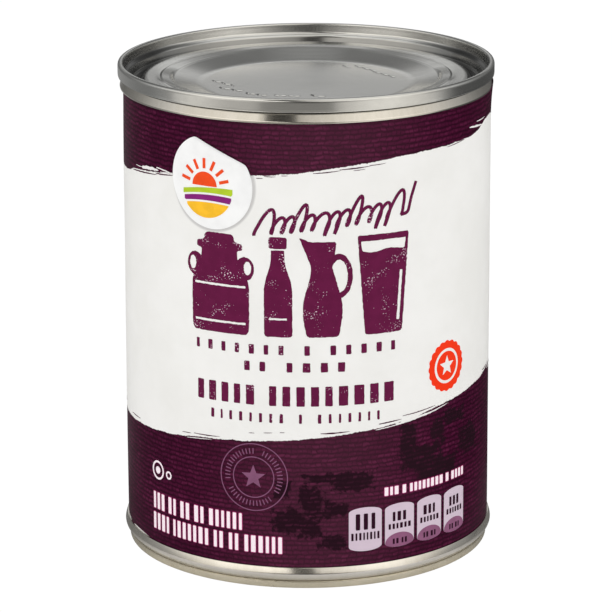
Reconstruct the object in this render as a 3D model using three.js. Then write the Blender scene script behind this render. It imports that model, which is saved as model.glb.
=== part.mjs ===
// Small can of evaporated milk, shut, standing on its lower seam.
// Millimetres, +Z up, origin at the middle of the underside. The front of the label faces -Y.
import * as THREE from 'three';

// Driving dimensions of the whole can
const CAN_HEIGHT = 97.9;
const TOP_SEAM_RADIUS = 37.3;
const BOTTOM_SEAM_RADIUS = 36.2;
const TOP_SEAM_HEIGHT = 2.7;
const BOTTOM_SEAM_HEIGHT = 1.5;

// Paper label, lying in a shallow recess of the body between its two beads
const LABEL_RADIUS = 36.7;
const LABEL_THICKNESS = 0.3;
const LABEL_BOTTOM = 4.5;
const LABEL_TOP = 92.9;
const BODY_RADIUS = 36.1;

// Body beads beside the label, and the necks that run into the seams
const TOP_BEAD_RADIUS = 36.95;
const TOP_BEAD_HEIGHT = 1.1;
const BOTTOM_BEAD_RADIUS = 37.4;
const NECK_WALL = 0.4;

// How much a bead's radius drops at its rounded edges, and above the wide part of the lower one
const BEAD_EDGE = 0.1;
const BOTTOM_BEAD_SHOULDER = 0.5;

// Height of the lower bead's widest place, below which it slopes in to the seam
const BOTTOM_BEAD_MIDDLE = 3.3;

// Clearance between pieces that touch in the real can
const GAP = 0.3;

// Bevel where an end's plug meets the body
const BEVEL = 1.2;

// Stamped ends: the same panel in both, with its radii measured in from the seam's outside
const END_THICKNESS = 0.6;
const TOP_PANEL_DEPTH = 4.65;
const BOTTOM_PANEL_DEPTH = 3.9;
const SEAM_THICKNESS = 1.05;
const CREST_ROUND = 0.35;
const PLUG_INSET = 1.7;

// Rings of the panel, from the seam inwards: how far in, and how deep below the seam's crest
// as a share of the panel's depth
const PANEL_RINGS = [
  { name: 'foot of the chuck wall', inset: 1.4, share: 0.44 },
  { name: 'ledge under it', inset: 2.1, share: 0.54 },
  { name: 'groove, outer wall', inset: 2.5, share: 0.88 },
  { name: 'groove, outer floor', inset: 3.0, share: 0.97 },
  { name: 'groove, inner floor', inset: 4.0, share: 0.97 },
  { name: 'groove, inner wall', inset: 4.7, share: 0.77 },
  { name: 'first ring, outer edge', inset: 5.2, share: 0.64 },
  { name: 'first ring, crown', inset: 5.8, share: 0.61 },
  { name: 'first ring, inner edge', inset: 7.7, share: 0.62 },
  { name: 'valley between the rings', inset: 8.35, share: 0.67 },
  { name: 'second ring, outer edge', inset: 8.7, share: 0.61 },
  { name: 'second ring, inner edge', inset: 10.4, share: 0.63 },
  { name: 'head of the slope', inset: 11.0, share: 0.75 },
  { name: 'edge of the flat centre', inset: 16.4, share: 1 },
];

const SEGMENTS = 72;

// An arc of a profile, from one angle to another in degrees, 0 pointing outwards and 90 up
function arc(centreR, centreZ, radius, from, to, steps) {
  const points = [];
  for (let i = 0; i <= steps; i++) {
    const angle = THREE.MathUtils.degToRad(from + (to - from) * i / steps);
    points.push([centreR + radius * Math.cos(angle), centreZ + radius * Math.sin(angle)]);
  }
  return points;
}

// Turns a closed profile of [radius, height] points, listed from the bottom of the axis
// outwards and up to its top, into a solid of revolution about +Z
function turned(name, profile, material) {
  const points = profile.map(([r, z]) => new THREE.Vector2(r, z));
  const geometry = new THREE.LatheGeometry(points, SEGMENTS);
  geometry.rotateX(Math.PI / 2);
  const mesh = new THREE.Mesh(geometry, material);
  mesh.name = name;
  return mesh;
}

// Outline of a stamped can end and its seam, the flat crest of the seam at height 0 and the
// inside of the can below it. The side towards the inside is a flat plug with a bevel.
function endProfile(seamRadius, seamHeight, panelDepth) {
  const crest = [
    ...arc(seamRadius - CREST_ROUND, -CREST_ROUND, CREST_ROUND, 0, 90, 3),
    ...arc(seamRadius - SEAM_THICKNESS + CREST_ROUND, -CREST_ROUND, CREST_ROUND, 90, 180, 3),
  ];
  const rings = PANEL_RINGS.map(({ inset, share }) => [seamRadius - inset, -share * panelDepth]);
  const plugRadius = plugRadiusOf(seamRadius);
  const plugBottom = -panelDepth - END_THICKNESS;
  return [
    [0, plugBottom],
    [plugRadius - BEVEL, plugBottom],
    [plugRadius, plugBottom + BEVEL],
    [plugRadius, -seamHeight],
    [seamRadius - GAP, -seamHeight],
    [seamRadius, -seamHeight + GAP],
    ...crest,
    ...rings,
    [0, -panelDepth],
  ];
}

// Outside of the plug that each end carries into the body's neck
function plugRadiusOf(seamRadius) {
  return seamRadius - PLUG_INSET;
}

// The body's neck round a plug: its inside and outside radius
function neckOf(seamRadius) {
  const inside = plugRadiusOf(seamRadius) + GAP;
  return { inside, outside: inside + NECK_WALL };
}

const tinplate = new THREE.MeshStandardMaterial({ color: 0xb4b2aa, roughness: 0.35, metalness: 0.9 });
const paper = new THREE.MeshStandardMaterial({ color: 0x4e1f36, roughness: 0.45, metalness: 0.0 });

// Lid: seam, countersink, two expansion rings and a flat centre
function makeTopEnd() {
  const profile = endProfile(TOP_SEAM_RADIUS, TOP_SEAM_HEIGHT, TOP_PANEL_DEPTH);
  const placed = profile.map(([r, z]) => [r, CAN_HEIGHT + z]);
  return turned('top_end', placed, tinplate.clone());
}

// Base: the same end upside down, with a smaller seam that nests in another can's lid
function makeBottomEnd() {
  const profile = endProfile(BOTTOM_SEAM_RADIUS, BOTTOM_SEAM_HEIGHT, BOTTOM_PANEL_DEPTH);
  const placed = profile.map(([r, z]) => [r, -z]).reverse();
  return turned('bottom_end', placed, tinplate.clone());
}

// Body: one solid cylinder, since a shut can hides its inside
function makeBody() {
  const lowNeck = neckOf(BOTTOM_SEAM_RADIUS);
  const highNeck = neckOf(TOP_SEAM_RADIUS);
  const floor = BOTTOM_PANEL_DEPTH + END_THICKNESS + GAP;
  const roof = CAN_HEIGHT - TOP_PANEL_DEPTH - END_THICKNESS - GAP;
  const lowNeckEnd = BOTTOM_SEAM_HEIGHT + GAP;
  const highNeckEnd = CAN_HEIGHT - TOP_SEAM_HEIGHT - GAP;
  return turned('body', [
    [0, floor],
    [lowNeck.inside - BEVEL, floor],
    [lowNeck.inside, floor - BEVEL],
    [lowNeck.inside, lowNeckEnd],
    [BOTTOM_SEAM_RADIUS, lowNeckEnd],
    [BOTTOM_BEAD_RADIUS - BEAD_EDGE, BOTTOM_BEAD_MIDDLE - GAP],
    [BOTTOM_BEAD_RADIUS, BOTTOM_BEAD_MIDDLE],
    [BOTTOM_BEAD_RADIUS - BEAD_EDGE, LABEL_BOTTOM - 3 * GAP],
    [BOTTOM_BEAD_RADIUS - BOTTOM_BEAD_SHOULDER, LABEL_BOTTOM - GAP],
    [BODY_RADIUS, LABEL_BOTTOM - GAP],
    [BODY_RADIUS, LABEL_TOP + GAP],
    [TOP_BEAD_RADIUS - BEAD_EDGE, LABEL_TOP + GAP],
    [TOP_BEAD_RADIUS, LABEL_TOP + 2 * GAP],
    [TOP_BEAD_RADIUS - BEAD_EDGE, LABEL_TOP + 3 * GAP],
    [highNeck.outside, LABEL_TOP + GAP + TOP_BEAD_HEIGHT],
    [highNeck.outside, highNeckEnd],
    [highNeck.inside, highNeckEnd],
    [highNeck.inside, roof + BEVEL],
    [highNeck.inside - BEVEL, roof],
    [0, roof],
  ], tinplate.clone());
}

// Label: a thin tube of paper
function makeLabel() {
  const inside = LABEL_RADIUS - LABEL_THICKNESS;
  return turned('label', [
    [inside, LABEL_BOTTOM],
    [LABEL_RADIUS, LABEL_BOTTOM],
    [LABEL_RADIUS, LABEL_TOP],
    [inside, LABEL_TOP],
    [inside, LABEL_BOTTOM],
  ], paper);
}

const can = new THREE.Group();
can.add(makeBody(), makeTopEnd(), makeBottomEnd(), makeLabel());

export default can;
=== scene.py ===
import math
import random

import bpy
from mathutils import Matrix, Vector, noise
from mathutils.geometry import delaunay_2d_cdt


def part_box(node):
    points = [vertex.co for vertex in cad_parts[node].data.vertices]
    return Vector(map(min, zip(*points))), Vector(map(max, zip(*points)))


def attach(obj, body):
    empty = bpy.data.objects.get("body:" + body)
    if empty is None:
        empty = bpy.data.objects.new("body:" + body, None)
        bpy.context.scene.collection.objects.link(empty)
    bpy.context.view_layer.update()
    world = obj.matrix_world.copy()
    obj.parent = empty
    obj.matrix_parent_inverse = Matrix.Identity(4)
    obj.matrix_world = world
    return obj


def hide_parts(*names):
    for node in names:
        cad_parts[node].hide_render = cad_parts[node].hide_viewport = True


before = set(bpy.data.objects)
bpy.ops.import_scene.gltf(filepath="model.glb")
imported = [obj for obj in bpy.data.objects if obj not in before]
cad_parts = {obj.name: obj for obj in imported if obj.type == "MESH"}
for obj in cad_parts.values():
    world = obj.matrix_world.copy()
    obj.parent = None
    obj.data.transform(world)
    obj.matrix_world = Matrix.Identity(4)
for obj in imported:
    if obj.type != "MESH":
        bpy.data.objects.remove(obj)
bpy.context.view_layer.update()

# Units: the scene is in metres, and the sizes below are in millimetres
MM = 0.001

# Heights and radii of the solids, read from the frame, in millimetres
LID_LOW, LID_HIGH = (Vector(corner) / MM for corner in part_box("top_end"))
BASE_LOW, BASE_HIGH = (Vector(corner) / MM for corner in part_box("bottom_end"))
SHELL_LOW, SHELL_HIGH = (Vector(corner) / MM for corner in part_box("body"))
LABEL_LOW, LABEL_HIGH = (Vector(corner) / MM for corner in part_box("label"))
CAN_TOP = LID_HIGH.z
LID_RADIUS = LID_HIGH.x
BASE_RADIUS = BASE_HIGH.x
SHELL_RADIUS = SHELL_HIGH.x
LABEL_RADIUS = LABEL_HIGH.x

# Camera: level with the photograph, looking down at the can from its front
CAMERA_DISTANCE = 702.45
CAMERA_PITCH = 15.79
CAMERA_ROLL = -0.25
CAMERA_SIDE = -0.21
AIM_HEIGHT = 47.09
FOCAL_LENGTH = 204.66
SENSOR_WIDTH = 36.0

# Stamped ends: how far in from the seam's outside, how deep as a share of the panel's depth,
# and how far the bend reaches on each side
SEAM_THICKNESS = 1.05
FOOT_BEAD_HEIGHT = 2.85
PANEL_DEPTH = 4.65
BASE_DEPTH = 3.9
PANEL_RINGS = [
    ("foot of the chuck wall", 1.28, 0.44, 0.3),
    ("ledge under it", 2.1, 0.54, 0.25),
    ("groove, outer wall", 2.5, 0.88, 0.3),
    ("groove, outer floor", 3.0, 0.97, 0.4),
    ("groove, inner floor", 4.0, 0.97, 0.4),
    ("groove, inner wall", 4.7, 0.77, 0.3),
    ("first ring, outer edge", 5.2, 0.64, 0.3),
    ("first ring, crown", 5.8, 0.61, 0.4),
    ("first ring, inner edge", 7.5, 0.62, 0.5),
    ("valley between the rings", 8.35, 0.66, 0.25),
    ("second ring, outer edge", 8.7, 0.61, 0.2),
    ("second ring, inner edge", 10.4, 0.63, 0.3),
    ("head of the slope", 11.0, 0.75, 0.25),
    ("edge of the flat centre", 16.4, 1.0, 1.0),
]

# The ends' metal, the bevel of the plug inside them, and the clearance between the solids
END_THICKNESS = 0.6
BEVEL = 1.2
GAP = 0.3

# How far outside a bend an extra point is set, so that the straight beside it shades flat
SUPPORT = 0.05

# Sheets are smooth except where they turn by more than this, at their cut edges
SHARP_ANGLE = math.radians(40)

# Short raised dashes stamped in the flat centre of the lid: from and to, in plan
STAMPED_ROWS = [((-18.8, 1.9), (-14.1, -3.4), 5), ((-17.3, -4.8), (-12.4, -8.4), 4),
                ((-12.0, -10.1), (-7.6, -12.6), 4), ((-6.4, -12.2), (-1.0, -13.3), 4),
                ((0.6, -12.1), (3.8, -13.8), 2), ((7.3, 15.9), (8.9, 13.6), 2),
                ((9.8, 15.6), (14.1, 9.9), 6), ((13.4, 9.6), (17.8, 4.2), 6)]

# How much higher the real lid is than the frame's even rings, by how far in from its edge
BACK_OFFSETS = [(7.5, 0.0), (8.35, 0.22), (8.7, -0.02), (10.4, -0.06), (11.0, 0.38), (12.0, 0.32),
                (13.0, 0.18), (14.5, 0.0)]
BACK_SIDE_OFFSETS = [(6.4, 0.0), (7.5, -0.09), (8.35, 0.0), (8.7, -0.28), (10.4, -0.46), (11.0, 0.0)]

# The paper hugs the body at the upper left, and stands off at the upper right
SLACK_LEFT = [(20, 0.0), (35, 0.04), (48, 0.14), (60, 0.23), (76, 0.26), (84, 0.35), (93, 0.48)]
FLARE_MIDDLE = 92.0
FLARE_REACH = 30.0
FLARE_RISE = 0.75
FLARE_OUT = 0.4
LAP_STEP = 0.1
LAP_WIDTH = 6.0

# Print, in millimetres round the label from the middle of its front (+ to the right) and up
UPPER_BAND = [(-115, 83.5), (-80, 80.0), (-62, 78.2), (-50.7, 78.0), (-43, 79.3), (-36, 80.1),
              (-28, 81.0), (-19, 81.8), (-10, 82.7), (-4, 83.2), (2, 83.9), (12, 85.0), (22, 85.8),
              (32, 86.1), (36, 86.2), (40, 86.5), (44, 87.3), (49.5, 88.3), (56, 87.3), (70, 86.8),
              (95, 85.2), (115, 83.5)]
LOWER_BAND = [(-115, 32.5), (-80, 29.0), (-62, 27.6), (-50, 27.4), (-40, 27.7), (-32, 28.1),
              (-22, 29.2), (-13, 29.8), (-5, 30.3), (4, 31.1), (12, 31.9), (21, 32.9), (28, 34.1),
              (37, 35.1), (44, 35.9), (51, 36.7), (75, 36.5), (95, 34.5), (115, 32.5)]

# Brush streaks beside the bands' edges: from, by way of and to, and how thick in the middle
WHITE_STREAKS = [
    (-38.9, 80.4, -35.6, 80.9, -32.7, 80.9, 0.75), (-33.4, 81.4, -31.0, 81.3, -29.0, 81.0, 0.3),
    (-32.2, 80.7, -30.0, 80.8, -27.9, 81.2, 0.22), (-41.8, 80.3, -40.0, 80.2, -38.4, 80.5, 0.16),
    (38.2, 88.1, 41.6, 87.75, 44.8, 87.45, 0.4), (41.4, 88.7, 43.6, 88.5, 46.0, 88.7, 0.2),
    (17.8, 32.25, 23.0, 33.0, 28.3, 33.5, 0.55), (13.5, 31.75, 16.2, 32.0, 19.0, 32.3, 0.2),
    (25.5, 33.25, 28.5, 33.6, 31.2, 34.1, 0.22), (-25.6, 28.55, -22.5, 28.9, -19.4, 29.15, 0.16),
    (50.5, 36.1, 54.0, 36.2, 57.0, 36.3, 0.35),
]
PURPLE_STREAKS = [
    (-43.4, 79.0, -37.8, 79.5, -33.2, 79.95, 0.3), (-33.8, 80.2, -31.0, 80.25, -28.2, 80.75, 0.28),
    (-9.7, 82.3, -9.0, 82.25, -8.3, 82.35, 0.16), (-8.1, 82.75, -7.0, 82.6, -5.8, 82.75, 0.14),
    (-4.8, 82.95, -4.2, 82.9, -3.5, 83.0, 0.14), (1.2, 83.45, 3.6, 83.5, 6.6, 83.85, 0.2),
    (6.3, 84.0, 9.4, 84.1, 12.6, 84.4, 0.24), (12.2, 84.5, 13.8, 84.45, 15.6, 84.65, 0.15),
    (9.0, 83.7, 10.2, 83.75, 11.4, 83.85, 0.12), (30.5, 85.7, 33.5, 85.9, 36.4, 86.2, 0.16),
    (-26.8, 29.45, -25.6, 29.5, -24.5, 29.6, 0.15), (-23.8, 29.75, -20.8, 29.75, -17.6, 30.0, 0.2),
    (-11.6, 31.5, -10.9, 31.55, -10.4, 31.55, 0.12), (-8.6, 31.75, -7.6, 31.75, -6.8, 31.85, 0.13),
    (-5.4, 31.95, -5.0, 31.95, -4.4, 32.0, 0.12), (2.5, 31.8, 5.4, 31.75, 8.3, 32.0, 0.28),
    (14.2, 32.85, 16.6, 33.0, 19.2, 33.2, 0.26), (19.4, 33.8, 23.6, 33.95, 27.6, 34.45, 0.2),
    (-46.5, 28.3, -44.0, 28.35, -41.5, 28.4, 0.2), (46.0, 36.9, 48.6, 36.9, 51.2, 37.4, 0.22),
    (-60, 28.7, -57.0, 28.5, -54, 28.6, 0.25), (66, 37.0, 71, 37.3, 77, 37.2, 0.3),
    (-96, 31.3, -90, 31.0, -84, 30.3, 0.3), (70, 87.1, 76, 86.6, 83, 86.3, 0.3),
    (-100, 80.8, -94, 80.7, -88, 80.2, 0.3),
]

# Dark blotches of ink on the lower band: across, up, half width and half height
BLOTCHES = [(8.6, 21.8, 4.6, 1.9), (3.5, 22.6, 4.5, 0.9), (20.8, 28.3, 2.1, 4.0), (24.5, 24.6, 5.5, 2.3),
            (28.2, 29.4, 1.8, 2.4), (28.5, 21.4, 6.0, 2.1), (5.6, 16.2, 2.3, 1.6), (0.6, 17.5, 2.2, 3.4),
            (-3.6, 14.0, 3.6, 2.4), (0.5, 12.6, 2.2, 2.0), (5.0, 9.6, 2.8, 1.5), (33.5, 31.0, 3.2, 1.5),
            (-4.9, 20.2, 1.6, 1.8), (38.5, 25.0, 3.5, 2.8)]

# How far the layers of print stand off the paper, and how deep they reach
INK_LIFT = 0.03
OVERPRINT_LIFT = 0.05
TOP_PRINT_LIFT = 0.07
STICKER_LIFT = 0.12
EMBLEM_LIFT = 0.17
INK_DEPTH = 0.05
STICKER_DEPTH = 0.14

# Sticker: its middle and radius on the label, and where its folded edge runs
STICKER_MIDDLE = (-19.2, 80.4)
STICKER_RADIUS = 9.0
FOLD_FROM = (-22.3, 89.3)
FOLD_TO = (-11.6, 84.75)

# The flourish's loops: how wide each is as a share, and how far it reaches up and down
LOOPS = [(1.3, 3.3, 1.7), (0.8, 1.5, 1.5), (0.7, 1.55, 1.6), (0.75, 3.7, 1.6), (0.8, 1.5, 1.5),
         (1.15, 1.6, 1.6), (0.7, 1.5, 2.9), (0.8, 1.6, 1.5), (0.7, 3.9, 1.6), (1.0, 1.5, 1.55),
         (0.75, 1.6, 1.6), (0.7, 1.5, 3.1), (1.2, 3.4, 1.6)]
FLOURISH_SLANT = 0.36

# Linen: how far apart its rows of threads are, and its colours
THREAD_PITCH = 0.94
BAND_PURPLE = (0.056, 0.003, 0.0235, 1)
BAND_DARK = (0.023, 0.001, 0.01, 1)
BAND_THREAD = (0.105, 0.011, 0.046, 1)


def srgb(red, green, blue):
    """A colour as it shows on screen, 0 to 255, turned into the shader's linear values."""
    def linear(value):
        share = value / 255
        return share / 12.92 if share <= 0.04045 else ((share + 0.055) / 1.055) ** 2.4
    return (linear(red), linear(green), linear(blue), 1.0)


# Node trees, built by short calls
def arithmetic(operation, swapped=False):
    """A method that works out one operation between a value and another value or number."""
    def work_out(self, other):
        pair = (other, self) if swapped else (self, other)
        return self.nodes.math(operation, *pair)
    return work_out


class Value:
    """What a node gives, which can be used in plain sums."""
    def __init__(self, nodes, socket):
        self.nodes = nodes
        self.socket = socket

    __add__ = __radd__ = arithmetic("ADD")
    __sub__ = arithmetic("SUBTRACT")
    __rsub__ = arithmetic("SUBTRACT", swapped=True)
    __mul__ = __rmul__ = arithmetic("MULTIPLY")
    __truediv__ = arithmetic("DIVIDE")

    def __abs__(self):
        return self.nodes.math("ABSOLUTE", self)


class Nodes:
    def __init__(self, tree):
        self.tree = tree

    def add(self, kind, **settings):
        node = self.tree.nodes.new("ShaderNode" + kind)
        for key, value in settings.items():
            setattr(node, key, value)
        return node

    def feed(self, socket, value):
        if isinstance(value, Value):
            self.tree.links.new(value.socket, socket)
        else:
            socket.default_value = value

    def fill(self, node, inputs):
        """Feeds inputs by their names, and gives the node's first output."""
        for name, value in inputs.items():
            self.feed(node.inputs[name], value)
        return Value(self, node.outputs[0])

    def read(self, kind, name):
        return Value(self, self.add(kind).outputs[name])

    def math(self, operation, *values):
        node = self.add("Math", operation=operation)
        for socket, value in zip(node.inputs, values):
            self.feed(socket, value)
        return Value(self, node.outputs[0])

    def most(self, first, second):
        return self.math("MAXIMUM", first, second)

    def reach(self, x, y):
        return self.math("SQRT", x * x + y * y)

    def step(self, value, start, end, low=0.0, high=1.0):
        """Goes smoothly from low to high as value goes from start to end."""
        node = self.add("MapRange", interpolation_type="SMOOTHSTEP")
        for socket, number in zip(node.inputs, (value, start, end, low, high)):
            self.feed(socket, number)
        return Value(self, node.outputs[0])

    def curve(self, value, points):
        """The height of a drawn curve at value; points give both in the same plain units."""
        xs, ys = zip(*points)
        left, wide = min(xs), max(xs) - min(xs)
        foot, tall = min(ys), max(ys) - min(ys)
        node = self.add("FloatCurve")
        drawn = node.mapping.curves[0].points
        for i, (x, y) in enumerate(points):
            place = ((x - left) / wide, (y - foot) / tall)
            if i in (0, len(points) - 1):
                drawn[0 if i == 0 else -1].location = place
            else:
                drawn.new(*place)
        node.mapping.update()
        return self.fill(node, {"Value": (value - left) / wide}) * tall + foot

    def mix(self, share, first, second):
        node = self.add("Mix", data_type="RGBA")
        colour_inputs = [s for s in node.inputs if s.type == "RGBA"]
        for socket, value in zip([node.inputs[0], *colour_inputs], (share, first, second)):
            self.feed(socket, value)
        return Value(self, next(s for s in node.outputs if s.type == "RGBA"))

    def vector(self, x, y):
        return self.fill(self.add("CombineXYZ"), {"X": x, "Y": y})

    def parts(self, vector):
        node = self.add("SeparateXYZ")
        self.feed(node.inputs[0], vector)
        return [Value(self, socket) for socket in node.outputs]

    def noise(self, vector, scale, detail=2.0, roughness=0.5):
        return self.fill(self.add("TexNoise"), {"Vector": vector, "Scale": scale, "Detail": detail,
                                                "Roughness": roughness})

    def around(self):
        """How far round the can and how far up it the surface is, in millimetres."""
        x, y, z = self.parts(self.read("TexCoord", "Object"))
        return self.math("ARCTAN2", x, y * -1.0) * LABEL_RADIUS, z / MM

    def bump(self, height, strength, distance):
        return self.fill(self.add("Bump"), {"Height": height, "Strength": strength,
                                            "Distance": distance * MM})


def new_material(name, roughness, metallic=0.0, specular=0.5):
    """A material with its nodes and its main shader."""
    material = bpy.data.materials.new(name)
    material.use_nodes = True
    nodes = Nodes(material.node_tree)
    shader = next(n for n in material.node_tree.nodes if n.type == "BSDF_PRINCIPLED")
    nodes.fill(shader, {"Roughness": roughness, "Metallic": metallic, "Specular IOR Level": specular})
    return material, nodes, shader


# Materials
def tinplate(name, colour, dull_colour, roughness, grain_across, shade=None):
    """Bright rolled tinplate: fine straight grain and faint clouds, darkened by any painted shade(nodes,
    place).
    """
    material, n, shader = new_material(name, roughness, metallic=1.0)
    place = n.read("TexCoord", "Object")
    stretched = n.fill(n.add("Mapping"), {"Vector": place, "Scale": grain_across})
    grain = n.noise(stretched, 900.0, 3.0, 0.6)
    clouds = n.noise(place, 70.0, 4.0, 0.55)
    share = grain * 0.35 + clouds * 0.65
    bright = n.mix(n.step(share, 0.3, 0.7), dull_colour, colour)
    # Painted shade, where one is given, mixes the colour towards dark grey
    if shade:
        bright = n.mix(shade(n, place), bright, (0.1, 0.1, 0.1, 1.0))
    n.fill(shader, {"Base Color": bright,
                    "Roughness": n.step(share, 0.25, 0.75, roughness * 1.25, roughness * 0.85),
                    "Normal": n.bump(grain, 0.12, 0.03)})
    return material


def countersink_painted_shade(n, place):
    """Painted shade: darkens the lid's groove, and the countersink on its left and right."""
    x, y, z = n.parts(place)
    radius = n.reach(x, y)
    off_back = abs(n.math("ARCTAN2", x, y))
    # Painted shade on the countersink's left and right, where it mirrors the dark of the room
    beside = n.step(off_back, math.radians(44), math.radians(62), 0.0, 0.89)
    # Painted shade in the groove, all round
    groove = n.step(z, (CAN_TOP - 2.5) * MM, (CAN_TOP - 2.75) * MM, 0.0, 0.72)
    inside = n.step(radius, (LID_RADIUS - 4.9) * MM, (LID_RADIUS - 4.2) * MM)
    inside = inside * n.step(radius, (LID_RADIUS - 0.6) * MM, (LID_RADIUS - 0.9) * MM)
    below = n.step(z, (CAN_TOP - 0.3) * MM, (CAN_TOP - 0.6) * MM)
    return n.most(beside, groove) * inside * below


def label_paper():
    """White coated paper with two printed bands of purple linen."""
    material, n, shader = new_material("label_paper", 0.36, specular=0.03)
    arc, height = n.around()
    flat = n.vector(arc, height)

    # The bands' edges waver a little, and are frayed at the scale of the threads
    waver = (n.noise(flat, 0.35, 2.0) - 0.5) * 0.5
    frayed = (n.noise(flat, 1.9, 3.0, 0.6) - 0.5) * 0.5
    uneven = waver + frayed
    upper = n.step(height - n.curve(arc, UPPER_BAND) + uneven, -0.05, 0.05)
    lower = n.step(n.curve(arc, LOWER_BAND) - height + uneven, -0.05, 0.05)

    # An unprinted margin shows where the paper is cut crooked, low on the left
    margin = n.curve(arc, [(-115, -0.5), (-75, -0.4), (-57, 0.12), (-52, 0.22), (-48, -0.1), (-45, 0.2),
                           (-41, 0.1), (-34, -0.2), (0, -0.5), (115, -0.5)])
    banded = n.most(upper, lower) * n.step(height - LABEL_LOW.z - margin, 0.0, 0.08)

    # Linen: short threads in rows, set off from row to row, wavy and unevenly inked
    wobble = n.noise(flat, 0.5, 3.0)
    drift = n.noise(n.vector(arc * 0.08, height), 0.3, 1.0) * 3.0
    across = wobble * 1.4 + arc + drift
    upward = wobble * 0.9 + height
    threads = n.fill(n.add("TexBrick", offset=0.5, squash=0.72, squash_frequency=3), {
        "Vector": n.vector(across, upward), "Color1": (0.55, 0.55, 0.55, 1), "Color2": (1, 1, 1, 1),
        "Mortar": (0.16, 0.16, 0.16, 1), "Scale": 1.0, "Mortar Size": 0.17, "Mortar Smooth": 1.0,
        "Bias": 0.0, "Brick Width": 1.45, "Row Height": THREAD_PITCH})
    woven = n.fill(n.add("SeparateColor"), {"Color": threads})
    worn = n.noise(n.vector(arc * 0.45, height), 0.5, 4.0, 0.65)
    fine = n.noise(n.vector(arc * 0.55, height), 2.6, 3.0, 0.6)
    row = n.math("COSINE", upward * (2 * math.pi / THREAD_PITCH)) * -0.36 + 0.64
    weave = woven * row * n.step(worn, 0.3, 0.66, 0.6, 1.15) + (fine - 0.5) * 0.8
    linen = n.mix(n.step(weave, 0.0, 0.55), BAND_DARK, BAND_PURPLE)
    linen = n.mix(n.step(weave, 0.5, 1.1, 0.0, 0.9), linen, BAND_THREAD)
    streaky = n.noise(n.vector(arc * 0.03, height * 0.1), 1.0, 3.0)
    linen = n.mix(n.step(streaky, 0.35, 0.68, 0.0, 0.3), linen, BAND_DARK)

    # Painted sheen: the linen is paler towards the front, where it faces the light
    linen = n.mix(n.step(abs(arc - 2.0), 30.0, 2.0, 0.0, 0.085), linen, (0.28, 0.12, 0.16, 1.0))

    # Dark blotches of ink on the lower band, with the weave showing through
    ragged = (n.noise(flat, 0.42, 6.0, 0.72) - 0.5) * 2.9
    blotch = 0.0
    for centre, middle, half_width, half_height in BLOTCHES:
        off = n.most(abs((arc - centre) / half_width), abs((height - middle) / half_height))
        blotch = n.most(n.step(off + ragged, 1.08, 0.8), blotch)
    linen = n.mix(blotch * n.step(weave, 1.3, 0.3, 0.5, 0.92), linen, srgb(33, 14, 24))

    # Paper: faint clouds, and a soft shade under the round sticker
    clouds = n.noise(flat, 0.06, 4.0, 0.6)
    white = n.mix(n.step(clouds, 0.3, 0.7), srgb(235, 234, 230), srgb(241, 240, 237))
    x, y = STICKER_MIDDLE
    from_sticker = n.reach(arc - (x + 0.25), height - (y - 0.25))
    shade = n.step(from_sticker, STICKER_RADIUS + 0.45, STICKER_RADIUS - 0.1, 0.0, 0.45)
    white = n.mix(shade, white, srgb(140, 136, 138))

    grain = n.noise(flat, 3.0, 3.0, 0.6)
    n.fill(shader, {"Base Color": n.mix(banded, white, linen),
                    "Roughness": n.step(grain, 0.3, 0.7, 0.32, 0.42),
                    "Normal": n.bump(grain, 0.08, 0.03)})
    return material


def ink(name, colour, worn_colour, speckle, cloud=0.3):
    """Printed ink: slightly uneven, with pale specks in clusters where it is worn."""
    material, n, shader = new_material(name, 0.36, specular=0.03)
    flat = n.vector(*n.around())
    darker = tuple(0.6 * c for c in colour[:3]) + (1.0,)
    tone = n.mix(n.step(n.noise(flat, 0.4, 3.0), 0.35, 0.65, 0.0, cloud), colour, darker)
    specks = n.noise(flat, 3.1, 2.0, 0.5)
    cluster = n.step(n.noise(flat, 0.28, 1.0), 0.42, 0.72)
    bare = n.step(cluster * 0.16 + specks, 0.74, 0.79, 0.0, speckle)
    n.fill(shader, {"Base Color": n.mix(bare, tone, worn_colour),
                    "Roughness": n.step(specks, 0.3, 0.7, 0.32, 0.42)})
    return material


def sticker_paper():
    """Smooth white paper, with painted shade along the faint crease beside its fold."""
    material, n, shader = new_material("sticker_paper", 0.34, specular=0.35)
    arc, height = n.around()
    flat = n.vector(arc, height)
    base = n.mix(n.step(n.noise(flat, 0.3, 4.0), 0.3, 0.7), srgb(240, 240, 239), srgb(247, 247, 246))
    # Painted shade: a grey band along the fold, where the paper bends
    fold_shade = n.step(abs(arc * 0.407 + height - 80.1), 0.8, 0.0, 0.0, 0.45)
    n.fill(shader, {"Base Color": n.mix(fold_shade, base, srgb(214, 214, 214)),
                    "Roughness": n.step(n.noise(flat, 2.5, 3.0), 0.3, 0.7, 0.3, 0.4)})
    return material


# The paper's surface
def bump_between(value, middle, reach):
    """1 in the middle, falling smoothly to 0 at the reach on both sides."""
    away = min(1.0, abs(value - middle) / reach)
    return 0.5 + 0.5 * math.cos(math.pi * away)


def along(value, table):
    """Straight lines between the table's (value, result) pairs."""
    if value <= table[0][0]:
        return table[0][1]
    for (v1, r1), (v2, r2) in zip(table, table[1:]):
        if value <= v2:
            return r1 + (r2 - r1) * (value - v1) / (v2 - v1)
    return table[-1][1]


def paper_rise(arc):
    """How much higher the paper's top edge is than its usual height."""
    degrees = math.degrees(arc / LABEL_RADIUS)
    dip = 0.12 * bump_between(degrees, -90, 50)
    return FLARE_RISE * bump_between(degrees, FLARE_MIDDLE, FLARE_REACH) - dip


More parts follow.
